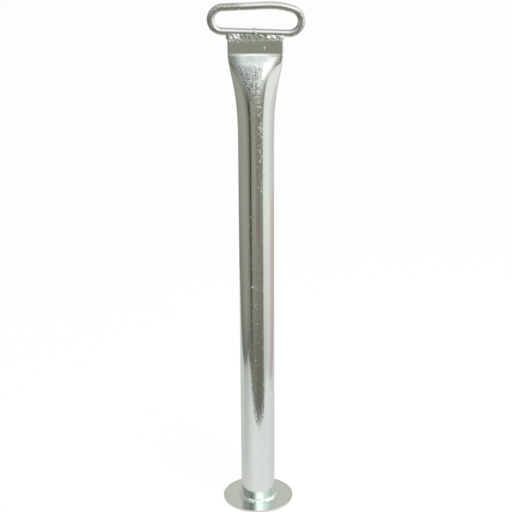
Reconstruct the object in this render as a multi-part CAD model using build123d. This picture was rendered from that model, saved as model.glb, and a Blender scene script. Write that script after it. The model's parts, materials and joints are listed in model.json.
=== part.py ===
from build123d import *
import math
import os

# A prop stand for a trailer or caravan: a steel tube that stands on a welded round foot and is pressed
# flat at its top, where a bent bar is welded across the end as a handle.
# Millimetres, Z up, the origin under the middle of the foot, the handle along X.

# Foot
foot_diameter = 100.0
foot_thickness = 3.0
foot_edge_radius = 0.4
drain_diameter = 8.0

# Tube, with its heights measured from the top face of the foot
tube_diameter = 48.0
tube_wall = 2.0
crease_height = 646.5
band_height = 21.6

# Pressing: how far down the flattening reaches, how fast the tube opens there, how far the front's wide arc
# goes round at most and how fast it gets there, and the slit left between the walls of the flat end
press_length = 151.5
press_power = 4.4
front_arc_angle = 58.0
front_arc_power = 5.0
press_slit = 0.3
press_stations = (0.04, 0.1, 0.19, 0.3, 0.43, 0.57, 0.7, 0.82, 0.92, 1.0)

# Handle bar, with its reaches measured from the tube's axis to the bar's centre line
bar_diameter = 10.0
handle_reach_left = 57.7
handle_reach_right = 59.9
handle_spread = 34.1
lower_run_slope = 2.6
upper_run_slope = 1.7
lower_corner_radius = 16.0
upper_corner_radius = 16.0
upper_corner_turn = 70.0

# Joint where the bent bar's two ends are welded together
joint_offset = -1.0
joint_gap = 2.0
joint_bead_length = 5.0
joint_bead_height = 0.6

# Weld between handle and tube
handle_root_gap = 0.1
handle_weld_leg = 6.5
handle_weld_toe_angle = 22.0
handle_weld_bulge = 0.5
handle_weld_overrun = 1.6
handle_weld_end_share = 0.35
handle_weld_unevenness = 0.12
handle_weld_stations = 13
handle_weld_wave = 3.0
handle_weld_depth_share = 0.9

# Weld between tube and foot
foot_weld_leg = 4.0
foot_weld_bulge = 0.5
weld_penetration = 0.4

# Worked out from the sizes above
foot_top = foot_thickness
tube_radius = tube_diameter / 2
crease_z = foot_top + crease_height
tube_top = crease_z + band_height
press_start = crease_z - press_length
band_half_thickness = tube_wall + press_slit / 2
band_half_width = math.pi / 2 * (tube_radius - band_half_thickness) + band_half_thickness
bar_radius = bar_diameter / 2
lower_slope = math.radians(lower_run_slope)
upper_slope = math.radians(upper_run_slope)


def foot_plate():
    """A flat disc with softened edges and a drain hole for the plating bath."""
    disc = extrude(Circle(foot_diameter / 2), foot_thickness)
    disc = fillet(disc.edges(), foot_edge_radius)
    return disc - extrude(Circle(drain_diameter / 2), foot_thickness)


def flat_section(inset):
    """The section of the flat end: two flats joined by two half circles."""
    half_flat = band_half_width - band_half_thickness
    side_radius = band_half_thickness - inset
    front = Line((-half_flat, -side_radius), (half_flat, -side_radius))
    right = CenterArc((half_flat, 0), side_radius, -90, 180)
    rear = Line((half_flat, side_radius), (-half_flat, side_radius))
    left = CenterArc((-half_flat, 0), side_radius, 90, 180)
    return make_face([front, right, rear, left])


def oval_section(station, inset):
    """An oval of four arcs, at a share of the press length below the crease.

    It has the same length round mid-wall as the round tube, which it becomes at station 1.
    """
    half_thickness = tube_radius - (tube_radius - band_half_thickness) * (1 - station) ** press_power
    degrees = front_arc_angle * (1 - (1 - station) ** front_arc_power)
    angle = math.radians(degrees)
    length_share = (math.pi - 2 * angle) / math.cos(angle)
    front_radius = (math.pi * tube_radius - length_share * half_thickness) / (math.pi - length_share)
    side_radius = front_radius - (front_radius - half_thickness) / math.cos(angle)
    front_centre = front_radius - half_thickness
    side_centre = (front_radius - side_radius) * math.sin(angle)
    front = CenterArc((0, front_centre), front_radius - inset, -90 - degrees, 2 * degrees)
    right = CenterArc((side_centre, 0), side_radius - inset, degrees - 90, 180 - 2 * degrees)
    rear = CenterArc((0, -front_centre), front_radius - inset, 90 - degrees, 2 * degrees)
    left = CenterArc((-side_centre, 0), side_radius - inset, degrees + 90, 180 - 2 * degrees)
    return make_face([front, right, rear, left])


def tube_body(inset):
    """The whole outline of the tube, drawn in by the inset: round below, pressed flat at the top."""
    straight = Pos(0, 0, foot_top) * extrude(Circle(tube_radius - inset), press_start - foot_top)
    sections = []
    for station in reversed(press_stations):
        height = crease_z - station * press_length
        sections.append(Pos(0, 0, height) * oval_section(station, inset))
    sections.append(Pos(0, 0, crease_z) * flat_section(inset))
    opening = loft(sections)
    band = Pos(0, 0, crease_z) * extrude(flat_section(inset), band_height)
    return straight + opening + band


def leg_tube():
    """The hollow tube, with the outer skin of its lower end melted away under the foot weld."""
    melted = Circle(tube_radius + weld_penetration) - Circle(tube_radius - weld_penetration)
    melted_ring = Pos(0, 0, foot_top) * extrude(melted, foot_weld_leg)
    return tube_body(0) - tube_body(tube_wall) - melted_ring


def foot_weld():
    """A ring of weld in the corner between the tube and the foot."""
    inner = tube_radius - weld_penetration
    toe_top = (tube_radius, foot_top + foot_weld_leg)
    toe_side = (tube_radius + foot_weld_leg, foot_top)
    swell = foot_weld_leg / 2 + foot_weld_bulge / math.sqrt(2)
    face_line = ThreePointArc(toe_top, (tube_radius + swell, foot_top + swell), toe_side)
    back = Polyline(toe_side, (inner, foot_top), (inner, foot_top + foot_weld_leg), toe_top)
    return revolve(Plane.XZ * make_face([face_line, back]), Axis.Z)


def run_height(x):
    """The height of the bar's centre line along the handle's lower run."""
    seat = tube_top + handle_root_gap + bar_radius / math.cos(lower_slope)
    return seat + (band_half_width - x) * math.tan(lower_slope)


def upper_run_height(x):
    """The height of the bar's centre line along the handle's upper run."""
    return run_height(0) + handle_spread + x * math.tan(upper_slope)


def turned(centre, radius, angle):
    """The point of a circle at an angle in degrees."""
    across = radius * math.cos(math.radians(angle))
    up = radius * math.sin(math.radians(angle))
    return (centre[0] + across, centre[1] + up)


def handle_path():
    """The bar's centre line: two runs that open to the right, a round left end and a swept right end."""
    up_normal = 90 + upper_run_slope
    down_normal = 270 - lower_run_slope

    # The left end touches both runs, which settles its radius
    opening = math.tan(lower_slope) + math.tan(upper_slope)
    stretch = 1 / math.cos(lower_slope) + 1 / math.cos(upper_slope)
    left_radius = (handle_spread - handle_reach_left * opening) / (stretch - opening)
    left_x = left_radius - handle_reach_left
    left_centre = (left_x, run_height(left_x) + left_radius / math.cos(lower_slope))

    lower_x = handle_reach_right - lower_corner_radius
    lower_centre = (lower_x, run_height(lower_x) + lower_corner_radius / math.cos(lower_slope))
    upper_centre = (handle_reach_right - upper_corner_radius, lower_centre[1])

    # The sweep is tangent to the upper corner and to the upper run, which settles its radius
    lean = math.sin(math.radians(upper_corner_turn) - upper_slope)
    below_run = (upper_run_height(upper_centre[0]) - upper_centre[1]) * math.cos(upper_slope)
    sweep_radius = (below_run - upper_corner_radius * lean) / (1 - lean)
    sweep_centre = turned(upper_centre, upper_corner_radius - sweep_radius, upper_corner_turn)

    joint_right = joint_offset + joint_gap / 2
    joint_left = joint_offset - joint_gap / 2
    run_start = (joint_right, run_height(joint_right))
    run_end = (joint_left, run_height(joint_left))
    edges = [
        Line(run_start, turned(lower_centre, lower_corner_radius, down_normal)),
        CenterArc(lower_centre, lower_corner_radius, down_normal, 90 + lower_run_slope),
        CenterArc(upper_centre, upper_corner_radius, 0, upper_corner_turn),
        CenterArc(sweep_centre, sweep_radius, upper_corner_turn, up_normal - upper_corner_turn),
        Line(turned(sweep_centre, sweep_radius, up_normal), turned(left_centre, left_radius, up_normal)),
        CenterArc(left_centre, left_radius, up_normal, down_normal - up_normal),
        Line(turned(left_centre, left_radius, down_normal), run_end),
    ]
    return Plane.XZ * Wire(edges)


def handle_loop():
    """The round bar bent along the handle's centre line, open by the joint's gap."""
    path = handle_path()
    start = Plane(origin=path @ 0, z_dir=path % 0)
    return sweep(start * Circle(bar_radius), path=path)


def loop_joint_weld(bar, tube_outline):
    """A barrel-shaped bead that fills the gap between the bar's two ends and stands proud all round."""
    half_length = joint_bead_length / 2
    left_toe = (-half_length, bar_radius)
    right_toe = (half_length, bar_radius)
    crown = ThreePointArc(left_toe, (0, bar_radius + joint_bead_height), right_toe)
    core = Polyline(right_toe, (half_length, 0), (-half_length, 0), left_toe)
    bead = revolve(make_face([crown, core]), Axis.X)
    placed = Pos(joint_offset, 0, run_height(joint_offset)) * Rot(0, lower_run_slope, 0) * bead
    return placed - bar - tube_outline


def weld_section(x, size, side):
    """One section across the handle weld, from inside the bar to inside the tube's flat band."""
    toe_angle = math.radians(handle_weld_toe_angle)
    outward = Vector(0, side * math.cos(toe_angle), -math.sin(toe_angle))
    bar_centre = Vector(x, 0, run_height(x))
    bar_toe = bar_centre + outward * bar_radius * handle_weld_depth_share
    band_foot = Vector(x, 0, tube_top - handle_weld_leg * size)
    band_toe = band_foot + Vector(0, side * band_half_thickness * handle_weld_depth_share, 0)
    swell = (bar_toe + band_toe) / 2 + outward * handle_weld_bulge * size
    face_line = ThreePointArc(bar_toe, swell, band_toe)
    core = Polyline(band_toe, band_foot, bar_centre, bar_toe)
    return make_face([face_line, core])


def handle_weld(side, bar, joint, tube_outline):
    """An uneven bead along one face of the flat band, which also fills the wedge under the bar."""
    left = -band_half_width - handle_weld_overrun
    length = 2 * (band_half_width + handle_weld_overrun)
    sections = []
    for number in range(handle_weld_stations):
        share = number / (handle_weld_stations - 1)
        at_end = number in (0, handle_weld_stations - 1)
        wander = 1 + handle_weld_unevenness * math.sin(number * math.tau / handle_weld_wave + side)
        size = handle_weld_end_share if at_end else wander
        sections.append(weld_section(left + share * length, size, side))
    return loft(sections) - bar - joint - tube_outline


os.makedirs("parts", exist_ok=True)
tube_outline = tube_body(0)
bar = handle_loop()
joint = loop_joint_weld(bar, tube_outline)
nodes = {
    "foot_plate": foot_plate(),
    "leg_tube": leg_tube(),
    "foot_weld": foot_weld(),
    "handle_loop": bar,
    "loop_joint_weld": joint,
    "handle_weld_front": handle_weld(-1, bar, joint, tube_outline),
    "handle_weld_rear": handle_weld(1, bar, joint, tube_outline),
}
for name, shape in nodes.items():
    export_step(shape, f"parts/{name}.step")
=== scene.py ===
import json
import math
import random

import bpy
import bmesh
from mathutils import Matrix, Vector, noise


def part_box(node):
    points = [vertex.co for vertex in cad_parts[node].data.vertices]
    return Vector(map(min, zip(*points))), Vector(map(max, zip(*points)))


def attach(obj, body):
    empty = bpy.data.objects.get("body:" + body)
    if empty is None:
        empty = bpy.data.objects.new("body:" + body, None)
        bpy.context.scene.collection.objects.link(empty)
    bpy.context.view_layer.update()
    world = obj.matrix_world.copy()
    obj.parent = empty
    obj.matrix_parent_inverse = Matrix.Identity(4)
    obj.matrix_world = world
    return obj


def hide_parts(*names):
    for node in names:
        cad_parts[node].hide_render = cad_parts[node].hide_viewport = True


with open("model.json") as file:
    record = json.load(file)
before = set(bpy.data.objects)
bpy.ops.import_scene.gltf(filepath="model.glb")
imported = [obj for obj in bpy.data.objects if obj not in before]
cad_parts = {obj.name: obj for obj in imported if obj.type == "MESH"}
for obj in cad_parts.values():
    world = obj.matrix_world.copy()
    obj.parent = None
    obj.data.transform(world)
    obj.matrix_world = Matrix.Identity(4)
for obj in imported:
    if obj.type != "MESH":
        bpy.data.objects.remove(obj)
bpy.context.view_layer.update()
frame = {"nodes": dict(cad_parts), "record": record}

# Sizes that the CAD model gives, in metres
foot_low, foot_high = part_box("foot_plate")
tube_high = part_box("leg_tube")[1]
loop_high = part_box("handle_loop")[1]
floor_z = foot_low.z
foot_top = foot_high.z
foot_radius = foot_high.x
clamp_mount = next(mount for mount in frame["record"]["mounts"] if mount["name"] == "tube_for_clamp")
tube_radius = clamp_mount["dims"]["r_mm"] / 1000
tube_top = tube_high.z
band_half_width = tube_high.x
bar_radius = loop_high.y

# Sizes that this script shares with the model's source, in metres and radians
wall = 0.002
band_height = 0.0216
press_length = 0.1515
press_power = 4.4
front_arc_angle = math.radians(58)
front_arc_power = 5.0
lower_run_slope = math.radians(2.6)
upper_run_slope = math.radians(1.7)
handle_reach_left = 0.0577
handle_reach_right = 0.0599
handle_spread = 0.0341
lower_corner_radius = 0.016
upper_corner_radius = 0.016
upper_corner_turn = math.radians(70)
root_gap = 0.0001
joint_offset = -0.001
joint_gap = 0.002
weld_overrun = 0.0016
foot_weld_leg = 0.004
weld_penetration = 0.0004

crease_z = tube_top - band_height
band_half_thickness = (math.pi / 2 * tube_radius - band_half_width) / (math.pi / 2 - 1)


def smoothstep(low, high, value):
    """Rises smoothly from 0 to 1 as the value goes from low to high."""
    share = min(max((value - low) / (high - low), 0), 1)
    return share * share * (3 - 2 * share)


def window(value, low, high, soft):
    """One between low and high, and zero outside, with soft edges."""
    rise = smoothstep(low - soft / 2, low + soft / 2, value)
    return rise * (1 - smoothstep(high - soft / 2, high + soft / 2, value))


def mixed(one, other, share):
    """A colour between two colours."""
    return tuple(a + (b - a) * share for a, b in zip(one, other))


def lumps(point, size, seed=0.0):
    """Smooth noise from -1 to 1, with features of about the size."""
    return noise.noise(Vector(point) / size + Vector((seed, 1.7 * seed, -seed)))


def mesh_object(name, vertices, faces, smooth=True):
    """A new mesh object in the scene, with outward normals."""
    mesh = bpy.data.meshes.new(name)
    mesh.from_pydata(vertices, [], faces)
    work = bmesh.new()
    work.from_mesh(mesh)
    bmesh.ops.recalc_face_normals(work, faces=work.faces)
    work.to_mesh(mesh)
    work.free()
    for polygon in mesh.polygons:
        polygon.use_smooth = smooth
    piece = bpy.data.objects.new(name, mesh)
    bpy.context.scene.collection.objects.link(piece)
    return piece


def grid_faces(rows, columns, wrap_rows=False):
    """Faces between rows of points, each row closed on itself."""
    faces = []
    for row in range(rows if wrap_rows else rows - 1):
        low, high = row * columns, (row + 1) % rows * columns
        for column in range(columns):
            after = (column + 1) % columns
            faces.append((low + column, low + after, high + after, high + column))
    return faces


def capped_grid(rings):
    """Points and faces of a closed form: rings of equal length, with a fan over the first and the last."""
    count = len(rings[0])
    vertices = [point for ring in rings for point in ring]
    faces = grid_faces(len(rings), count)
    for first in (0, len(vertices) - count):
        ring = vertices[first:first + count]
        vertices.append(tuple(sum(axis) / count for axis in zip(*ring)))
        hub = len(vertices) - 1
        faces += [(first + n, first + (n + 1) % count, hub) for n in range(count)]
    return vertices, faces


def write_attribute(piece, name, values, kind="FLOAT"):
    """Stores one number, direction or colour for each point of a mesh."""
    made = piece.data.attributes.new(name, kind, "POINT")
    if kind == "FLOAT":
        made.data.foreach_set("value", values)
    elif kind == "FLOAT_COLOR":
        made.data.foreach_set("color", [part for value in values for part in (*value, 1.0)])
    else:
        made.data.foreach_set("vector", [part for value in values for part in value])


# Camera, at the photograph's viewing angle
camera_distance = 1.744
camera_height = foot_top + 0.987
camera_azimuth = math.radians(-3.0)
camera_pitch = math.radians(19.55)
camera_roll = math.radians(-0.36)
axis_right_of_centre = math.radians(0.03)
camera_data = bpy.data.cameras.new("camera")
camera_data.sensor_width = 36.0
camera_data.lens = 95.0
camera = bpy.data.objects.new("camera", camera_data)
bpy.context.scene.collection.objects.link(camera)
camera.location = (
    camera_distance * math.sin(camera_azimuth),
    -camera_distance * math.cos(camera_azimuth),
    camera_height,
)
heading = Matrix.Rotation(camera_azimuth + axis_right_of_centre, 3, "Z")
tilt = Matrix.Rotation(math.pi / 2 - camera_pitch, 3, "X")
roll = Matrix.Rotation(camera_roll, 3, "Z")
camera.rotation_mode = "QUATERNION"
camera.rotation_quaternion = (heading @ tilt @ roll).to_quaternion()
bpy.context.scene.camera = camera
bpy.context.scene.view_settings.view_transform = "Standard"


def new_material(name):
    """A material with an empty node tree and an output."""
    material = bpy.data.materials.new(name)
    material.use_nodes = True
    tree = material.node_tree
    tree.nodes.clear()
    output = tree.nodes.new("ShaderNodeOutputMaterial")
    return material, tree, output


def node(tree, kind, inputs=None, **settings):
    """A new shader node with its settings, and its inputs set to values or linked to outputs."""
    made = tree.nodes.new("ShaderNode" + kind)
    for name, value in settings.items():
        setattr(made, name, value)
    for name, value in (inputs or {}).items():
        if isinstance(value, bpy.types.NodeSocket):
            tree.links.new(value, made.inputs[name])
        else:
            made.inputs[name].default_value = value
    return made


def math_node(tree, operation, one, other):
    """The output of a sum, product or the like of two values or outputs."""
    return node(tree, "Math", {0: one, 1: other}, operation=operation).outputs[0]


def shown_rays(tree):
    """One where the ray comes from the camera, a glossy surface or through glass, and zero elsewhere."""
    path = node(tree, "LightPath").outputs
    glossy = math_node(tree, "MAXIMUM", path["Is Camera Ray"], path["Is Glossy Ray"])
    return math_node(tree, "MAXIMUM", glossy, path["Is Transmission Ray"])


# Studio: a white floor and world, and surroundings that only the metal's reflections see
floor_reach = 12.0
floor_paint = 0.9
floor_glow_share = 0.86
world_strength = 0.95
world_colour = (0.97, 0.99, 1.0)
key_power = 20.0
key_size = 1.4
key_place = (0.7, -1.1, 2.0)
key_aim = (0, 0, 0.3)


def white_floor():
    """A wide white floor that keeps a faint shadow."""
    corners = ((-1, -1), (1, -1), (1, 1), (-1, 1))
    vertices = [(x * floor_reach, y * floor_reach, floor_z) for x, y in corners]
    floor = mesh_object("floor", vertices, [(0, 1, 2, 3)], smooth=False)
    material, tree, output = new_material("floor_white")
    paint = node(tree, "BsdfDiffuse", {"Color": (floor_paint, floor_paint, floor_paint, 1)})
    glow = node(tree, "Emission", {"Color": (1, 1, 1, 1)})
    share = math_node(tree, "MULTIPLY", shown_rays(tree), floor_glow_share)
    blend = node(tree, "MixShader", {0: share, 1: paint.outputs[0], 2: glow.outputs[0]})
    tree.links.new(blend.outputs[0], output.inputs["Surface"])
    floor.data.materials.append(material)


def white_world():
    """White where it shows, and a soft light elsewhere."""
    world = bpy.data.worlds.new("studio")
    world.use_nodes = True
    tree = world.node_tree
    tree.nodes.clear()
    output = tree.nodes.new("ShaderNodeOutputWorld")
    soft = node(tree, "Background", {"Color": (*world_colour, 1), "Strength": world_strength})
    white = node(tree, "Background", {"Color": (1, 1, 1, 1), "Strength": 1.0})
    blend = node(tree, "MixShader", {0: shown_rays(tree), 1: soft.outputs[0], 2: white.outputs[0]})
    tree.links.new(blend.outputs[0], output.inputs["Surface"])
    bpy.context.scene.world = world


def key_lamp():
    """A soft lamp above the front right, which casts the stand's shadow on the floor."""
    lamp = bpy.data.lights.new("key_light", "AREA")
    lamp.shape = "DISK"
    lamp.size = key_size
    lamp.energy = key_power
    key = bpy.data.objects.new("key_light", lamp)
    bpy.context.scene.collection.objects.link(key)
    key.location = key_place
    key.rotation_euler = (Vector(key_aim) - key.location).to_track_quat("-Z", "Y").to_euler()
    key.visible_glossy = False


def reflection_only(panel, colours, one_sided=False):
    """Makes a glowing panel that only reflections show, and that neither lights nor shades the floor."""
    write_attribute(panel, "glow", colours, "FLOAT_COLOR")
    material, tree, output = new_material(panel.name + "_glow")
    colour = node(tree, "Attribute", attribute_name="glow").outputs["Color"]
    light = node(tree, "Emission", {"Color": colour}).outputs[0]
    if one_sided:
        behind = node(tree, "NewGeometry").outputs["Backfacing"]
        clear = node(tree, "BsdfTransparent").outputs[0]
        light = node(tree, "MixShader", {0: behind, 1: light, 2: clear}).outputs[0]
    tree.links.new(light, output.inputs["Surface"])
    material.cycles.emission_sampling = "NONE"
    panel.data.materials.append(material)
    panel.visible_camera = False
    panel.visible_diffuse = False
    panel.visible_transmission = False
    panel.visible_volume_scatter = False
    panel.visible_shadow = False


# The corners of the white sheet under the stand, in metres to the right and to the back
sheet_corners = ((-0.49, 0.9), (-0.50, -0.25), (-0.36, -0.325), (0.43, -0.235), (0.43, 0.9))
sheet_lift = 0.0002
sheet_gap = 0.002
room_reach = 3.6
head_height = 0.65
dome_top = 89.5

# The room from left to right, as azimuths in degrees from the front and the colour of what stands there
room = (
    (-180, (0.62, 0.64, 0.58)),
    (-118, (0.42, 0.415, 0.36)),
    (-80, (0.47, 0.46, 0.40)),
    (-64, (0.42, 0.415, 0.35)),
    (-52, (0.28, 0.28, 0.225)),
    (-46, (0.19, 0.19, 0.145)),
    (-42, (0.05, 0.055, 0.035)),
    (-37, (0.05, 0.055, 0.035)),
    (-32, (0.33, 0.325, 0.26)),
    (-18, (0.42, 0.415, 0.345)),
    (0, (0.355, 0.352, 0.283)),
    (20, (0.335, 0.325, 0.27)),
    (38, (0.32, 0.31, 0.27)),
    (43, (0.98, 1.0, 0.95)),
    (75, (1.07, 1.06, 1.02)),
    (100, (0.88, 0.87, 0.84)),
    (130, (0.74, 0.71, 0.68)),
    (180, (0.62, 0.64, 0.58)),
)

# How bright the room's floor is next to the room behind it, at four shares of the way out from the sheet
near_shares = (0, 0.07, 0.3, 1)
near_shades = (
    (
        (-180, 1), (-146, 0.5), (-112, 0.4), (-60, 0.45), (-48, 0.7), (-42, 3.6), (-37, 3.6), (-32, 0.75),
        (0, 0.55), (46, 0.7), (130, 0.76), (180, 1),
    ),
    (
        (-180, 1), (-146, 0.5), (-112, 0.66), (-85, 0.78), (-50, 0.95), (-42, 1.8), (-37, 1.8), (-32, 0.7),
        (0, 0.6), (46, 0.76), (180, 1),
    ),
    ((-180, 1), (-146, 0.62), (-112, 0.97), (-85, 0.93), (-60, 1), (180, 1)),
    ((-180, 1), (180, 1)),
)

# How bright the sheet is at its edge next to its middle, and its colour, both by azimuth
sheet_shade = ((-180, 1), (-115, 1), (-90, 0.74), (-64, 0.78), (-48, 1), (180, 1))
sheet_tones = (
    (-180, (0.70, 0.74, 0.72)),
    (-126, (0.71, 0.75, 0.73)),
    (-84, (0.76, 0.80, 0.77)),
    (-52, (0.86, 0.89, 0.87)),
    (-25, (0.98, 0.99, 0.98)),
    (40, (1.0, 1.0, 1.0)),
    (66, (0.97, 0.98, 0.98)),
    (90, (0.90, 0.92, 0.92)),
    (128, (0.81, 0.82, 0.83)),
    (180, (0.72, 0.75, 0.73)),
)

# What stands above the room's floor, each over those before it: its name, its azimuths and elevations from
# and to, the widths of its side edges and of its upper and lower edges, all in degrees, and its colour
cards = (
    ("walls", (-240, 240), (6, 100), (10, 12), (0.66, 0.69, 0.65)),
    ("ceiling", (-240, 240), (50, 100), (10, 14), (0.66, 0.66, 0.64)),
    ("left wall", (-140, -44), (2, 46), (10, 8), (0.49, 0.52, 0.48)),
    ("front wall", (-46, 20), (1, 100), (10, 8), (0.44, 0.455, 0.43)),
    ("lit wall", (-42, 18), (19, 100), (12, 20), (0.80, 0.84, 0.84)),
    ("window", (-34, 60), (30, 58), (12, 10), (1.14, 1.16, 1.16)),
    ("middle", (-2, 36), (3, 28), (10, 8), (0.76, 0.74, 0.70)),
    ("door", (-44, -35), (-20, -3), (5, 6), (0.06, 0.065, 0.045)),
    ("door middle", (-45, -35), (-4, 5), (6, 5), (0.23, 0.24, 0.21)),
    ("door top", (-41, -24), (4, 12), (8, 8), (0.33, 0.35, 0.33)),
    ("gap", (32, 43), (-20, 10), (6, 8), (0.38, 0.38, 0.34)),
    ("soft box", (14, 45), (16, 36), (6, 8), (1.52, 1.48, 1.46)),
    ("right wall", (43, 140), (-20, 48), (3, 12), (1.08, 1.09, 1.06)),
    ("back wall", (145, 235), (8, 56), (20, 14), (0.70, 0.715, 0.65)),
)


def share_at(azimuth, shares):
    """The value at an azimuth, from a list of azimuths and their values."""
    for (before, one), (after, other) in zip(shares, shares[1:]):
        if azimuth <= after:
            return one + (other - one) * (azimuth - before) / (after - before)
    return shares[-1][1]


def tone_at(azimuth, tones):
    """The colour at an azimuth, from a list of azimuths and their colours."""
    return tuple(share_at(azimuth, [(stop, tone[part]) for stop, tone in tones]) for part in range(3))


def surroundings(azimuth, elevation):
    """The colour that the stand's head sees in a direction above the floor."""
    colour = tone_at(azimuth, room)
    for _, (left, right), (low, high), (side_soft, soft), tone in cards:
        aside = (azimuth - (left + right) / 2 + 180) % 360 - 180
        reach = (right - left) / 2
        share = window(aside, -reach, reach, side_soft) * window(elevation, low, high, soft)
        colour = mixed(colour, tone, share)
    return colour


def sheet_edge(azimuth):
    """How far the white sheet reaches from the stand in a direction, in radians from the front."""
    aside, ahead = math.sin(azimuth), -math.cos(azimuth)
    reaches = []
    for (x, y), (next_x, next_y) in zip(sheet_corners, sheet_corners[1:] + sheet_corners[:1]):
        across, along = next_x - x, next_y - y
        outward = aside * along - ahead * across
        if outward > 0:
            reaches.append((x * along - y * across) / outward)
    return min(reaches)


def room_floor():
    """The white sheet and the floor of the room round it, as the metal sees them."""
    height = floor_z + sheet_lift
    start = foot_radius + sheet_gap
    sheet_rings, sheet_colours = [[], []], [[], []]
    rings, colours = [[] for _ in near_shares], [[] for _ in near_shares]
    for degrees in range(-180, 180):
        azimuth = math.radians(degrees)
        aside, ahead = math.sin(azimuth), -math.cos(azimuth)
        near = sheet_edge(azimuth)
        tone = tone_at(degrees, sheet_tones)
        edge_shades = (1, share_at(degrees, sheet_shade))
        for ring, tones, reach, shade in zip(sheet_rings, sheet_colours, (start, near), edge_shades):
            ring.append((reach * aside, reach * ahead, height))
            tones.append(tuple(part * shade for part in tone))
        tone = tone_at(degrees, room)
        for ring, tones, share, shades in zip(rings, colours, near_shares, near_shades):
            reach = near + (room_reach - near) * share
            shade = share_at(degrees, shades)
            ring.append((reach * aside, reach * ahead, height))
            tones.append(tuple(part * shade for part in tone))
    sheet = mesh_object("white_sheet", sum(sheet_rings, []), grid_faces(2, 360), smooth=False)
    reflection_only(sheet, sum(sheet_colours, []))
    panel = mesh_object("room_floor", sum(rings, []), grid_faces(len(rings), 360), smooth=False)
    reflection_only(panel, sum(colours, []))


def room_dome():
    """The walls, lights and ceiling of the room, as one dome round the stand's head."""
    columns, rows = 240, 60
    lowest = math.degrees(-math.asin((head_height - floor_z) / room_reach))
    rings, colours = [], []
    for row in range(rows + 1):
        degrees = lowest + (dome_top - lowest) * row / rows
        elevation = math.radians(degrees)
        out, up = room_reach * math.cos(elevation), head_height + room_reach * math.sin(elevation)
        ring = []
        for column in range(columns):
            around = column * 360 / columns - 180
            azimuth = math.radians(around)
            ring.append((out * math.sin(azimuth), -out * math.cos(azimuth), up))
            colours.append(surroundings(around, degrees))
        rings.append(ring)
    vertices = [point for ring in rings for point in ring]
    faces = grid_faces(rows + 1, columns)
    faces.append(tuple(range(rows * columns, (rows + 1) * columns)))
    panel = mesh_object("room_dome", vertices, faces, smooth=False)
    reflection_only(panel, colours)


# A strip of light in front of the foot, which glows downward, so nothing above it sees it
strip_height = 0.5
strip_reach = (0.5, 1.35)
strip_tones = (
    (-66, (0.31, 0.42, 0.36)),
    (-46, (0.32, 0.40, 0.36)),
    (-33, (0.48, 0.58, 0.54)),
    (-20, (1.20, 1.34, 1.34)),
    (-8, (2.0, 2.1, 2.1)),
    (12, (2.15, 2.2, 2.2)),
    (28, (1.75, 1.88, 1.85)),
    (48, (1.30, 1.48, 1.42)),
    (72, (1.02, 1.24, 1.16)),
    (114, (0.70, 0.88, 0.80)),
)


def low_strip():
    """The light strip whose glint shows at the tube's foot and on the plate."""
    columns = 90
    vertices, colours = [], []
    for reach in strip_reach:
        for column in range(columns + 1):
            degrees = strip_tones[0][0] + (strip_tones[-1][0] - strip_tones[0][0]) * column / columns
            azimuth = math.radians(degrees)
            vertices.append((reach * math.sin(azimuth), -reach * math.cos(azimuth), strip_height))
            colours.append(tone_at(degrees, strip_tones))
    faces = [(n, n + 1, columns + 2 + n, columns + 1 + n) for n in range(columns)]
    panel = mesh_object("low_strip", vertices, faces, smooth=False)
    if panel.data.polygons[0].normal.z > 0:
        panel.data.flip_normals()
    reflection_only(panel, colours, one_sided=True)


white_floor()
white_world()
key_lamp()
room_floor()
room_dome()
low_strip()


# Materials: colours, the heights of bumps in metres and the texture's features per metre
zinc = (0.68, 0.715, 0.69)
zinc_warm = (0.66, 0.585, 0.57)
zinc_green = (0.665, 0.715, 0.645)
# Near-white that the painted highlights mix towards
painted_highlight_tone = (0.97, 0.98, 0.97)
grain = 0.000012
streaks = 0.00001
specks = 0.00010
crystal_lean = 0.32
pit_lean = 4.5
pit_edge = (0.17, 0.12)
crystal_scale = 860
pit_scale = 250
grain_scale = 1500
streak_scale = 420
speck_scale = 620
tint_scale = 55
mottle_scale = 450
finish_scale = 130
streak_stretch = (1, 1, 0.03)
patch_stretch = (1, 1, 0.16)
roughness_spread = (0.75, 1.3)
speckle_dulling = 0.05
blur_dulling = 0.3
rim_width = 0.007
rim_warmth = 0.6


def texture_noise(tree, place, scale, detail):
    """The output of a noise texture, from 0 to 1."""
    return node(tree, "TexNoise", {"Vector": place, "Scale": scale, "Detail": detail}).outputs["Fac"]


def ranged(tree, value, low, high, to_low=0.0, to_high=1.0):
    """The output of a value after its way from low to high is mapped onto another range."""
    inputs = {"Value": value, "From Min": low, "From Max": high, "To Min": to_low, "To Max": to_high}
    return node(tree, "MapRange", inputs).outputs[0]


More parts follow.
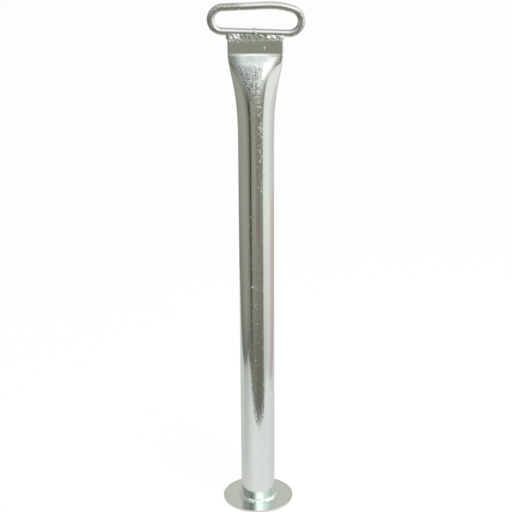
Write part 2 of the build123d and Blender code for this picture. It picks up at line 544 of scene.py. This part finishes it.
def plating_normal(tree, place, streaked, speckle, pits):
    """The direction that the plating faces, with its crystals, fine grain, drawing streaks and specks."""
    # Crystals lean each their own way, and most of all in pits
    crystals = node(tree, "TexVoronoi", {"Vector": place, "Scale": crystal_scale}).outputs["Color"]
    leaning = node(tree, "VectorMath", {0: crystals, 1: (0.5, 0.5, 0.5)}, operation="SUBTRACT").outputs[0]
    pit_distance = node(tree, "TexVoronoi", {"Vector": place, "Scale": pit_scale}).outputs["Distance"]
    pitted = math_node(tree, "MULTIPLY", pits, ranged(tree, pit_distance, *pit_edge, to_high=pit_lean))
    lean_share = math_node(tree, "MULTIPLY", math_node(tree, "ADD", speckle, pitted), crystal_lean)
    leaned = node(tree, "VectorMath", {0: leaning, "Scale": lean_share}, operation="SCALE").outputs[0]
    facing = node(tree, "NewGeometry").outputs["Normal"]
    summed = node(tree, "VectorMath", {0: facing, 1: leaned}, operation="ADD").outputs[0]
    crystal_normal = node(tree, "VectorMath", {0: summed}, operation="NORMALIZE").outputs[0]

    grain_noise = texture_noise(tree, place, grain_scale, 2)
    streak_noise = texture_noise(tree, streaked, streak_scale, 3)
    speck_noise = texture_noise(tree, place, speck_scale, 2.5)
    speck_height = math_node(tree, "MULTIPLY", speck_noise, speckle)
    fine = node(tree, "Bump", {"Height": grain_noise, "Distance": grain, "Normal": crystal_normal})
    drawn = node(tree, "Bump", {"Height": streak_noise, "Distance": streaks, "Normal": fine.outputs[0]})
    rough = node(tree, "Bump", {"Height": speck_height, "Distance": specks, "Normal": drawn.outputs[0]})
    return rough.outputs[0]


def plating_colour(tree, place, patched, warmth, dirt_and_shade, painted_highlight, dirt_and_shade_tone):
    """The plating's colour, with its pink and green tints, its stains and painted shade, and its painted
    highlights.
    """
    tint_noise = texture_noise(tree, patched, tint_scale, 2)
    tint = math_node(tree, "ADD", ranged(tree, tint_noise, 0.3, 0.7, -0.3, 0.3), warmth)
    warm_share = ranged(tree, tint, 0, 1)
    green_share = ranged(tree, math_node(tree, "MULTIPLY", tint, -1.0), 0, 1)
    mottle_noise = texture_noise(tree, place, mottle_scale, 3)
    mottled = math_node(tree, "MULTIPLY", dirt_and_shade, ranged(tree, mottle_noise, 0.38, 0.6, 0.35, 1.4))
    colour = (*zinc, 1)
    layers = (
        (warm_share, zinc_warm),
        (green_share, zinc_green),
        (mottled, dirt_and_shade_tone),
        (painted_highlight, painted_highlight_tone),
    )
    # Over the zinc: the pink and green tints, then stains with painted shade, then the painted highlights
    for share, tone in layers:
        colour = node(tree, "Mix", {0: share, 6: colour, 7: (*tone, 1)}, data_type="RGBA").outputs[2]
    return colour


def plating_finish(tree, patched, roughness, speckle, blur):
    """The plating's roughness, which differs from place to place and rises with the speckle and the blur."""
    finish_noise = texture_noise(tree, patched, finish_scale, 3)
    smoothest, roughest = (roughness * share for share in roughness_spread)
    uneven = ranged(tree, finish_noise, 0.3, 0.7, smoothest, roughest)
    dulled_by_speckle = math_node(tree, "MULTIPLY", speckle, speckle_dulling)
    dulled_by_blur = math_node(tree, "MULTIPLY", blur, blur_dulling)
    return math_node(tree, "ADD", uneven, math_node(tree, "ADD", dulled_by_speckle, dulled_by_blur))


def zinc_material(name, roughness, lay=None, dirt_and_shade_tone=(0.46, 0.52, 0.53), rim=None):
    """Bright zinc plating with a fine grain, drawing streaks, crystals, tints, stains, painted shade and
    highlights, and small pits.

    The mesh says where they lie: speckle for crystals, warmth for pink or green, a layer for stains that
    also carries painted shade, blur for a dull finish, a layer of painted highlights, and pits. Where two
    radii are given as the rim, the warmth rises between them instead.
    """
    material, tree, output = new_material(name)
    if lay:
        place = node(tree, "Attribute", attribute_name=lay).outputs["Vector"]
    else:
        place = node(tree, "TexCoord").outputs["Object"]
    streaked = node(tree, "Mapping", {"Vector": place, "Scale": streak_stretch}).outputs["Vector"]
    patched = node(tree, "Mapping", {"Vector": place, "Scale": patch_stretch}).outputs["Vector"]
    speckle, warmth, dirt_and_shade, blur, painted_highlight, pits = (
        node(tree, "Attribute", attribute_name=layer).outputs["Fac"]
        for layer in ("speckle", "warmth", "dirt_and_shade", "blur", "painted_highlight", "pits")
    )
    if rim:
        flat = node(tree, "VectorMath", {0: place, 1: (1, 1, 0)}, operation="MULTIPLY").outputs[0]
        radius = node(tree, "VectorMath", {0: flat}, operation="LENGTH").outputs["Value"]
        warmth = ranged(tree, radius, *rim, to_high=rim_warmth)
    surface = {
        "Base Color": plating_colour(tree, place, patched, warmth, dirt_and_shade, painted_highlight, dirt_and_shade_tone),
        "Metallic": 1.0,
        "Roughness": plating_finish(tree, patched, roughness, speckle, blur),
        "Normal": plating_normal(tree, place, streaked, speckle, pits),
    }
    shader = node(tree, "BsdfPrincipled", surface)
    tree.links.new(shader.outputs[0], output.inputs["Surface"])
    return material


def dress(piece, material, node_name):
    """Gives a new piece its material, hangs it from the root body and hides the CAD node that it stands for.
    """
    piece.data.materials.append(material)
    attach(piece, "root")
    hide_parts(node_name)


# Tube
around_count = 288
crease_softness = 0.0012
crease_lean = -0.0007
# Width of the painted highlight along the crease
crease_shine = 0.0013

# Steps between the tube's rings, and how far the crease's fine steps reach below and above it
straight_step = 0.006
pressed_step = 0.0016
crease_step = 0.0004
band_step = 0.0018
inside_step = 0.008
fine_below = 0.006
fine_above = 0.004

# Patches of the plating: azimuths from and to and the edges' width in degrees, then heights in metres
patches = {
    "trail": ((-2, 14, 7), (0.46, 0.598, 0.03)),
    "strip": ((-3, 8, 5), (0.40, 0.575, 0.05)),
    "right_edge": ((44, 84, 18), (0.18, 0.46, 0.06)),
    "low_middle": ((-26, 26, 10), (0.14, 0.28, 0.06)),
    "olive": ((24, 50, 12), (0.2, 0.5, 0.1)),
    "pits": ((-38, 26, 8), (0.10, 0.60, 0.08)),
}

# Where the front's middle ends, in degrees from the front
middle_edge = (17, 24)

# Heights over which the pressed face, its dull sides, its crystals and the painted shade above them begin
# and end
facet_start, facet_end = (0.585, 0.615), (crease_z - 0.002, crease_z)
dull_start, dull_end = (0.622, 0.636), (crease_z - 0.001, crease_z + 0.002)
bloom_start, bloom_end = (0.585, 0.605), (crease_z - 0.020, crease_z - 0.008)
crease_shade_start, crease_shade_end = (crease_z - 0.014, crease_z - 0.007), (crease_z - 0.003, crease_z)

# The slanting right edge of the crystals: its place to the side, its lean and the height it leans from
bloom_edge = (0.000, 0.007)
bloom_lean = 0.15
bloom_foot = 0.60

# Scuffs on the tube's front, as heights and azimuths from and to
scuffs = ((0.434, -24, 4), (0.334, -25, -6), (0.306, -18, -4))
scuff_reach = 0.0014
scuff_step = 0.0008


def pressed_form(below):
    """Half the tube's thickness and half the angle of its front arc, at a depth below the crease."""
    closed = 1 - min(below / press_length, 1)
    half = tube_radius - (tube_radius - band_half_thickness) * closed ** press_power
    return half, front_arc_angle * (1 - closed ** front_arc_power)


def oval_point(share, half, angle):
    """A point of an oval of four arcs and its normal, at a share of the way round from the front."""
    length_share = (math.pi - 2 * angle) / math.cos(angle)
    front_radius = (math.pi * tube_radius - length_share * half) / (math.pi - length_share)
    side_radius = front_radius - (front_radius - half) / math.cos(angle)
    way = share * 4
    turn = int(way) % 4
    along = way - int(way)
    if turn in (1, 3):
        along = 1 - along
    length = along * math.pi / 2 * tube_radius
    if length <= front_radius * angle:
        lean = length / front_radius
        x = front_radius * math.sin(lean)
        y = front_radius - half - front_radius * math.cos(lean)
    else:
        lean = angle + (length - front_radius * angle) / side_radius
        x = (front_radius - side_radius) * math.sin(angle) + side_radius * math.sin(lean)
        y = -side_radius * math.cos(lean)
    across, ahead = math.sin(lean), -math.cos(lean)
    if turn in (1, 2):
        y, ahead = -y, -ahead
    if turn in (2, 3):
        x, across = -x, -across
    return x, y, across, ahead


def tube_point(share, z, inset):
    """A point of the tube's skin, drawn in by the inset, and the direction that its section faces."""
    way = share * 4
    side = 1 - abs((way + 1) % 4 - 2)
    below = crease_z + crease_lean * side - z
    below = (below + math.hypot(below, crease_softness)) / 2
    x, y, across, ahead = oval_point(share, *pressed_form(below))
    return (x - inset * across, y - inset * ahead, z), math.atan2(across, -ahead)


def patch(name, turn, z):
    """How much a patch covers a place on the tube, from 0 to 1."""
    turns, heights = patches[name]
    return window(turn, *turns) * window(z, *heights)


def tube_finish(point, facing):
    """How the plating looks at a point of the tube that faces an azimuth in radians."""
    x, _, z = point
    turn = math.degrees(facing)
    front = min(abs(turn), 180 - abs(turn))
    middle = 1 - smoothstep(*middle_edge, front)
    facet = middle * smoothstep(*facet_start, z) * (1 - smoothstep(*facet_end, z))
    pressed = smoothstep(*dull_start, z) * (1 - smoothstep(*dull_end, z))
    # A painted highlight along the crease, fading towards the tube's sides
    off_crease = (z - crease_z - crease_lean * x / band_half_width) / crease_shine
    below_crease = smoothstep(*crease_shade_start, z) * (1 - smoothstep(*crease_shade_end, z))
    bloom = smoothstep(*bloom_start, z) * (1 - smoothstep(*bloom_end, z))
    bloom *= 1 - smoothstep(*bloom_edge, x - bloom_lean * (z - bloom_foot))
    scuffed = max(
        window(z, at - scuff_reach, at + scuff_reach, 0.001) * window(turn, low, high, 6)
        for at, low, high in scuffs
    )
    scuffed *= smoothstep(0.3, 0.6, 0.5 + 0.9 * lumps(point, 0.003, 7))
    clumped = min(1, max(0.3, 0.5 + 0.9 * lumps(point, 0.007, 4) + 0.3))
    dotted = smoothstep(0.35, 0.8, 0.5 + 0.9 * lumps(point, 0.003, 9))
    trail = patch("trail", turn, z)
    strip = patch("strip", turn, z)
    low_middle = patch("low_middle", turn, z)
    tinted = 1.1 * strip + 1.3 * patch("right_edge", turn, z) - 0.6 * patch("olive", turn, z)
    # Painted shade: darker just below the crease and over the crystals, most on the left
    facet_shade = 0.25 + 0.55 * (1 - smoothstep(-0.014, 0.004, x))
    crease_shade = 0.7 * below_crease * (1 - smoothstep(8, 20, front))
    crease_shade *= 1 - 0.5 * smoothstep(-0.012, 0.016, x)
    return {
        "speckle": (
            middle * (0.06 + 2.3 * bloom * clumped + 2.2 * trail * dotted)
            + 1.6 * scuffed
            + 0.14 * low_middle
        ),
        "warmth": tinted - 0.1 * facet,
        # real stains in the strip, trail and low middle, with painted shade below the crease and over the
        # crystals
        "dirt_and_shade": max(crease_shade, facet_shade * middle * bloom, 0.35 * strip, 0.3 * trail, 0.2 * low_middle),
        "pits": patch("pits", turn, z),
        "blur": 0.6 * pressed * smoothstep(16, 26, front),
        # painted highlight along the crease
        "painted_highlight": math.exp(-off_crease * off_crease) * (1 - smoothstep(60, 80, front)),
    }


def spaced(start, end, step):
    """Heights from start up to just before end, about a step apart."""
    count = max(1, round((end - start) / step))
    return [start + (end - start) * n / count for n in range(count)]


def leg_tube():
    """The pressed tube's skin, with its inside and its slit at the top."""
    press_start = crease_z - press_length
    outside = spaced(foot_top, press_start, straight_step)
    outside = sorted(outside + [at + scuff_step * step for at, _, _ in scuffs for step in range(-3, 4)])
    outside += spaced(press_start, crease_z - fine_below, pressed_step)
    outside += spaced(crease_z - fine_below, crease_z + fine_above, crease_step)
    outside += spaced(crease_z + fine_above, tube_top, band_step) + [tube_top]
    inside = [foot_top, press_start] + spaced(press_start, crease_z, inside_step) + [crease_z, tube_top]
    vertices = []
    layers = {name: [] for name in ("speckle", "warmth", "dirt_and_shade", "blur", "painted_highlight", "pits")}
    for inset, heights in ((0, outside), (wall, sorted(set(inside), reverse=True))):
        for z in heights:
            for number in range(around_count):
                point, facing = tube_point(number / around_count, z, inset)
                vertices.append(point)
                for name, value in tube_finish(point, facing).items():
                    layers[name].append(value)
    rows = len(vertices) // around_count
    piece = mesh_object("tube_skin", vertices, grid_faces(rows, around_count, wrap_rows=True))
    piece.data.set_sharp_from_angle(angle=math.radians(50))
    for name, values in layers.items():
        write_attribute(piece, name, values)
    dress(piece, zinc_material("zinc_tube", roughness=0.1), "leg_tube")


# Handle
bar_around = 40
bar_step = 0.0008
bar_allowance = 0.00004
run_dent = 0.00002
bend_dent = 0.00012

# Where the bends' wear begins to the side, where the right end's ends, and where the upper left run's begins
wear_reach = (0.02, 0.045)
right_wear_top = (0.695, 0.712)
left_run_start = (0.008, 0.030)
left_run_bottom = (0.698, 0.706)


def run_height(x):
    """The height of the bar's centre line along the handle's lower run."""
    seat = tube_top + root_gap + bar_radius / math.cos(lower_run_slope)
    return seat + (band_half_width - x) * math.tan(lower_run_slope)


def turned(centre, radius, angle):
    """The point of a circle at an angle."""
    return centre[0] + radius * math.cos(angle), centre[1] + radius * math.sin(angle)


def straight_run(start, end):
    """Places along a straight run: x, z, where the bar's outer side faces in radians, and no wear."""
    count = max(1, round(math.dist(start, end) / bar_step))
    facing = math.atan2(end[1] - start[1], end[0] - start[0]) - math.pi / 2
    places = []
    for number in range(count):
        x = start[0] + (end[0] - start[0]) * number / count
        z = start[1] + (end[1] - start[1]) * number / count
        places.append((x, z, facing, 0.0))
    return places


def bend(centre, radius, start, turn):
    """Places along a bend, with how worn the bar is there."""
    count = max(1, round(radius * turn / bar_step))
    places = []
    for number in range(count):
        angle = start + turn * number / count
        worn = math.sin(math.pi * number / count) ** 0.5
        places.append((*turned(centre, radius, angle), angle, worn))
    return places


def handle_path():
    """Places along the bar's centre line, from the joint's right side once round to its left side."""
    up_normal = math.pi / 2 + upper_run_slope
    down_normal = math.pi * 3 / 2 - lower_run_slope
    opening = math.tan(lower_run_slope) + math.tan(upper_run_slope)
    stretch = 1 / math.cos(lower_run_slope) + 1 / math.cos(upper_run_slope)
    left_radius = (handle_spread - handle_reach_left * opening) / (stretch - opening)
    left_x = left_radius - handle_reach_left
    left_centre = (left_x, run_height(left_x) + left_radius / math.cos(lower_run_slope))
    lower_x = handle_reach_right - lower_corner_radius
    lower_centre = (lower_x, run_height(lower_x) + lower_corner_radius / math.cos(lower_run_slope))
    upper_centre = (handle_reach_right - upper_corner_radius, lower_centre[1])
    upper_run = run_height(0) + handle_spread + upper_centre[0] * math.tan(upper_run_slope)
    lean = math.sin(upper_corner_turn - upper_run_slope)
    below_run = (upper_run - upper_centre[1]) * math.cos(upper_run_slope)
    sweep_radius = (below_run - upper_corner_radius * lean) / (1 - lean)
    sweep_centre = turned(upper_centre, upper_corner_radius - sweep_radius, upper_corner_turn)
    joint_right = joint_offset + joint_gap / 2
    joint_left = joint_offset - joint_gap / 2
    run_end = (joint_left, run_height(joint_left))
    run_start = (joint_right, run_height(joint_right))
    corner_turn = math.pi / 2 + lower_run_slope
    sweep_end = turned(sweep_centre, sweep_radius, up_normal)
    places = straight_run(run_start, turned(lower_centre, lower_corner_radius, down_normal))
    places += bend(lower_centre, lower_corner_radius, -corner_turn, corner_turn)
    places += bend(upper_centre, upper_corner_radius, 0, upper_corner_turn)
    places += bend(sweep_centre, sweep_radius, upper_corner_turn, up_normal - upper_corner_turn)
    places += straight_run(sweep_end, turned(left_centre, left_radius, up_normal))
    places += bend(left_centre, left_radius, up_normal, down_normal - up_normal)
    places += straight_run(turned(left_centre, left_radius, down_normal), run_end)
    places.append((*run_end, -math.pi / 2 - lower_run_slope, 0.0))
    return places


def handle_loop():
    """The bent bar, a little uneven where it was bent."""
    rings, lay = [], []
    layers = {name: [] for name in ("speckle", "dirt_and_shade", "blur", "painted_highlight")}
    for number, (x, z, facing, worn) in enumerate(handle_path()):
        ring = []
        for column in range(bar_around):
            angle = column * math.tau / bar_around
            across, aside = math.cos(angle), math.sin(angle)
            out = Vector((across * math.cos(facing), aside, across * math.sin(facing)))
            centre = Vector((x, 0, z))
            dent = lumps(centre + out * bar_radius, 0.006, 3) * (run_dent + bend_dent * worn)
            ring.append(tuple(centre + out * (bar_radius - bar_allowance + dent)))
            lay.append((across * bar_radius, aside * bar_radius, number * bar_step))
            low_right = worn * smoothstep(*wear_reach, x) * (1 - smoothstep(*right_wear_top, z))
            left = worn * smoothstep(*wear_reach, -x) * smoothstep(-0.55, 0.25, across)
            top_left = smoothstep(*left_run_start, -x) * smoothstep(*left_run_bottom, z)
            bruised = max(0.85 * left, 0.75 * low_right, 0.75 * top_left)
            layers["speckle"].append(0.12 + 1.5 * bruised)
            # Painted shade on the bar's lower side, mixed with the bends' real wear; a painted highlight on
            # its upper side
            underside_shade = 0.75 * (1 - smoothstep(-0.55, 0.05, out.z))
            layers["dirt_and_shade"].append(max(bruised, underside_shade))
            layers["blur"].append(0.35 * bruised)
            layers["painted_highlight"].append(0.5 * (1 - bruised) * smoothstep(-0.2, 0.4, out.z))
        rings.append(ring)
    vertices, faces = capped_grid(rings)
    piece = mesh_object("handle_bar", vertices, faces)
    piece.data.set_sharp_from_angle(angle=math.radians(50))
    write_attribute(piece, "lay", lay + [(0, 0, 0), (0, 0, len(rings) * bar_step)], "FLOAT_VECTOR")
    for name, values in layers.items():
        write_attribute(piece, name, values + [0.0, 0.0])
    # A brown tone for the bends' wear and for the painted shade on the bar's lower side
    bar_zinc = zinc_material("zinc_bar", roughness=0.09, lay="lay", dirt_and_shade_tone=(0.42, 0.385, 0.365))
    dress(piece, bar_zinc, "handle_loop")


# Welds: their ripples, lumps and grit
weld_width = 0.007
ripple_pitch = 0.0033
ripple_height = 0.00014
ripple_bow = 2.8
ripple_wander = 0.9
wander_size = 0.006
lump_size = 0.0036
lump_height = 0.0012
lump_loss = 0.0009
grit_size = 0.0013
grit_height = 0.0003

# The handle's weld: its toe on the band, its knee beside the band and its toe on the bar
toe_depth = 0.0041
toe_scallop = 0.0008
toe_wander = 0.0006
scallop_pitch = 0.0034
knee_reach = 0.00235
knee_swell = 0.0014
knee_wander = 0.0008
knee_depth = 0.0004
knee_share = 0.35
knee_turn = (0.15, 0.55)
face_start = 0.12
face_end = 0.16
weld_end_size = 0.35
weld_end_reach = 0.004
bar_toe_angle = 0.38
bar_toe_share = 0.97
band_toe_share = 0.93


def weld_shape(along, across):
    """How far a weld's face stands out, by the metres along it and the share of the way across it."""
    wander = noise.noise(Vector((along / wander_size, 0, 4)))
    phase = along / ripple_pitch + ripple_bow * (across - 0.5) ** 2 + ripple_wander * wander
    ripple = 1 - abs(2 * (phase % 1) - 1) ** 1.6
    place = Vector((along, across * weld_width, 0))
    lump = noise.noise(place / lump_size + Vector((9, 2, 1)))
    grit = noise.noise(place / grit_size + Vector((3, 8, 5)))
    return ripple_height * ripple + (lump_height - lump_loss * across) * lump + grit_height * grit


# Spatter
drop_count = 44
drop_radii = (0.0003, 0.00065)
drop_flatness = 0.7
drop_depth = 0.0042
drop_spread = 0.0040

# A drop that ran down the band in a hook, as places along the band and depths below the tube's top
hook_radius = 0.0007
hook_run = (
    (0.0106, 0.0125),
    (0.0113, 0.0121),
    (0.0121, 0.0126),
    (0.0122, 0.0135),
    (0.0117, 0.0144),
    (0.0114, 0.0158),
)


def drop(vertices, faces, centre, radius):
    """Adds a small round drop of metal to a mesh."""
    first, rows, columns = len(vertices), 5, 10
    for row in range(1, rows):
        lean = math.pi * row / rows
        for column in range(columns):
            angle = column * math.tau / columns
            aside, up = math.sin(lean) * math.cos(angle), math.sin(lean) * math.sin(angle)
            out = Vector((aside, drop_flatness * math.cos(lean), up))
            vertices.append(tuple(centre + out * radius))
    poles = len(vertices)
    vertices.append(tuple(centre + Vector((0, drop_flatness * radius, 0))))
    vertices.append(tuple(centre - Vector((0, drop_flatness * radius, 0))))
    for row in range(rows - 2):
        for column in range(columns):
            after = (column + 1) % columns
            low, high = first + row * columns, first + (row + 1) * columns
            faces.append((low + column, low + after, high + after, high + column))
    last = first + (rows - 2) * columns
    for column in range(columns):
        after = (column + 1) % columns
        faces.append((first + column, first + after, poles))
        faces.append((last + column, last + after, poles + 1))


def spatter(side):
    """Places along the band, depths below the tube's top and radii of the weld's spatter."""
    chance = random.Random(41 + side)
    drops = []
    for _ in range(drop_count):
        x = chance.uniform(-0.9, 0.98) * band_half_width
        below = drop_depth + drop_spread * chance.random() ** 2
        drops.append((x, below, chance.uniform(*drop_radii)))
    if side < 0:
        drops += [(x, below, hook_radius) for x, below in hook_run]
    return drops


# Where the handle's weld stands out most
full_places = ((-0.034, -0.021), (0.015, 0.025), (0.0315, 0.037))


def fullness(x):
    """How far the handle's weld swells at a place along it, from 0 to 1."""
    return max(window(x, low, high, 0.004) for low, high in full_places)


def weld_lines(x, side, size, seed):
    """Where the handle's weld meets the bar, where it stands out most and where it meets the band."""
    scallop = abs(math.sin(math.pi * (x / scallop_pitch + 0.5 * lumps((x, 0, 0), 0.005, seed))))
    toe = (toe_depth + toe_scallop * scallop + toe_wander * lumps((x, 0, 0), 0.008, seed + 2)) * size
    swell = knee_reach + knee_swell * fullness(x) + knee_wander * lumps((x, 0, 0), 0.0045, seed + 5)
    bar_side = Vector((0, side * math.cos(bar_toe_angle), -math.sin(bar_toe_angle)))
    bar_toe = Vector((x, 0, run_height(x))) + bar_side * bar_radius * bar_toe_share
    knee = Vector((x, side * (band_half_thickness + swell * size), tube_top - knee_depth))
    band_toe = Vector((x, side * band_half_thickness * band_toe_share, tube_top - toe))
    return bar_toe, knee, band_toe


def weld_ring(x, side, size, seed):
    """One ring of the handle's weld: its face from the bar down to the band, and its core behind."""
    bar_toe, knee, band_toe = weld_lines(x, side, size, seed)
    across_count = 32
    ring = []
    for step in range(across_count + 1):
        share = step / across_count
        lower = smoothstep(*knee_turn, share)
        upper_line = bar_toe.lerp(knee, share / knee_share)
        lower_line = knee.lerp(band_toe, (share - knee_share) / (1 - knee_share))
        point = upper_line.lerp(lower_line, lower)
        slope = (knee - bar_toe).lerp(band_toe - knee, lower)
        out = Vector((0, -slope.z, slope.y)).normalized() * side
        if out.y * side < 0:
            out = -out
        fade = smoothstep(0, face_start, share) * smoothstep(0, face_end, 1 - share)
        ring.append(tuple(point + out * weld_shape(x + seed, share) * fade * size))
    ring.append((x, 0.0, band_toe.z))
    ring.append((x, 0.0, run_height(x)))
    return ring


def handle_weld(name, side, node_name, material):
    """The bead between the handle and one face of the tube's flat band, with the spatter below it."""
    stations = 480
    left = -band_half_width - weld_overrun
    length = -2 * left
    rings = []
    for number in range(stations + 1):
        x = left + length * number / stations
        end = min(number, stations - number) * length / stations
        size = weld_end_size + (1 - weld_end_size) * smoothstep(0, weld_end_reach, end)
        rings.append(weld_ring(x, side, size, 11 * side))
    vertices, faces = capped_grid(rings)
    bead_count = len(vertices)
    for x, below, radius in spatter(side):
        drop(vertices, faces, Vector((x, side * band_half_thickness, tube_top - below)), radius)
    piece = mesh_object(name, vertices, faces)
    drop_points = len(vertices) - bead_count
    # Painted shade in the crevice beneath the bar where the weld swells least, painted highlights where it
    # swells most, a pale teal painted reflection on the lower flank and painted glints on the spatter
    weld_shade, painted_highlights = [], []
    for x, _, z in vertices[:bead_count]:
        flank = 1 - smoothstep(tube_top - 0.0012, tube_top + 0.0008, z)
        full = fullness(x)
        weld_shade.append(0.35 * flank + 0.75 * (1 - flank) * (1 - full))
        painted_highlights.append(0.35 * flank + 0.8 * (1 - flank) * full)
    write_attribute(piece, "dirt_and_shade", weld_shade + [0.0] * drop_points)
    write_attribute(piece, "painted_highlight", painted_highlights + [1.0] * drop_points)
    dress(piece, material, node_name)


# The foot's weld: its reach up the tube and out over the plate as shares of its leg, its swell and its lumps
up_share = 0.76
up_wander = 0.45
out_share = 0.86
out_wander = 0.35
foot_bead_swell = 0.0003
foot_bead_lumps = 1.25
foot_bead_overlap = 0.0001


def foot_weld(material):
    """The ring of weld round the tube's foot."""
    stations, across_count = 560, 16
    inner = tube_radius - weld_penetration
    low_z = foot_top - foot_bead_overlap
    rings = []
    for number in range(stations):
        angle = number * math.tau / stations
        along = angle * tube_radius
        around = Vector((math.sin(angle), -math.cos(angle), 0))
        up = foot_weld_leg * (up_share + up_wander * lumps(around * tube_radius, 0.005, 5))
        side = foot_weld_leg * (out_share + out_wander * lumps(around * tube_radius, 0.004, 8))
        top_toe = around * (tube_radius - foot_bead_overlap) + Vector((0, 0, foot_top + up))
        side_toe = around * (tube_radius + side) + Vector((0, 0, low_z))
        out = (around + Vector((0, 0, 1))).normalized()
        closing = smoothstep(0, 0.01, math.tau * tube_radius - along) * smoothstep(0, 0.01, along)
        ring = []
        for step in range(across_count + 1):
            share = step / across_count
            fade = math.sin(math.pi * share) ** 0.6
            rough = foot_bead_lumps * weld_shape(along + 0.5, share) * fade * (0.4 + 0.6 * closing)
            ring.append(tuple(top_toe.lerp(side_toe, share) + out * (foot_bead_swell * fade + rough)))
        ring.append(tuple(around * inner + Vector((0, 0, low_z))))
        ring.append(tuple(around * inner + Vector((0, 0, foot_top + up))))
        rings.append(ring)
    count = len(rings[0])
    vertices = [point for ring in rings for point in ring]
    piece = mesh_object("foot_bead", vertices, grid_faces(stations, count, wrap_rows=True))
    # Painted glints over the weld's front right, warmer where they fade and greener beneath them
    painted_glint = []
    for x, y, _ in vertices:
        painted_glint.append(0.15 + 0.85 * window(math.degrees(math.atan2(x, -y)), -30, 56, 16))
    write_attribute(piece, "painted_highlight", painted_glint)
    write_attribute(piece, "warmth", [0.3 - share for share in painted_glint])
    dress(piece, material, "foot_weld")


# The bead at the bar's joint
joint_half_length = 0.0027
joint_crown = 0.0008
joint_lumps = 0.0007


def loop_joint(material):
    """The small bead that joins the bar's two ends."""
    rows, columns = 24, 48
    rings = []
    for row in range(rows + 1):
        share = 2 * row / rows - 1
        along = joint_offset + share * joint_half_length
        crown = joint_crown * (1 - share * share)
        ring = []
        for column in range(columns):
            angle = column * math.tau / columns
            out = Vector((0, math.sin(angle), math.cos(angle)))
            bump = joint_lumps * lumps(Vector((along, 0, 0)) + out * 0.003, 0.0022, 6) * (1 - share ** 4)
            radius = bar_radius - 0.0001 + crown + bump
            ring.append((along, out.y * radius, run_height(along) + out.z * radius))
        rings.append(ring)
    vertices, faces = capped_grid(rings)
    piece = mesh_object("joint_bead", vertices, faces)
    dress(piece, material, "loop_joint_weld")


leg_tube()
handle_loop()
# The welds' dark tone is teal, a painted shade for the crevice beneath the bar
weld_zinc = zinc_material("zinc_weld", roughness=0.16, dirt_and_shade_tone=(0.52, 0.68, 0.61))
handle_weld("handle_bead_front", -1, "handle_weld_front", weld_zinc)
handle_weld("handle_bead_rear", 1, "handle_weld_rear", weld_zinc)
foot_weld(weld_zinc)
loop_joint(weld_zinc)
plate_slots = frame["nodes"]["foot_plate"].data.materials
plate_slots.clear()
plate_rim = (foot_radius - rim_width, foot_radius)
plate_slots.append(zinc_material("zinc_plate", roughness=0.12, rim=plate_rim))
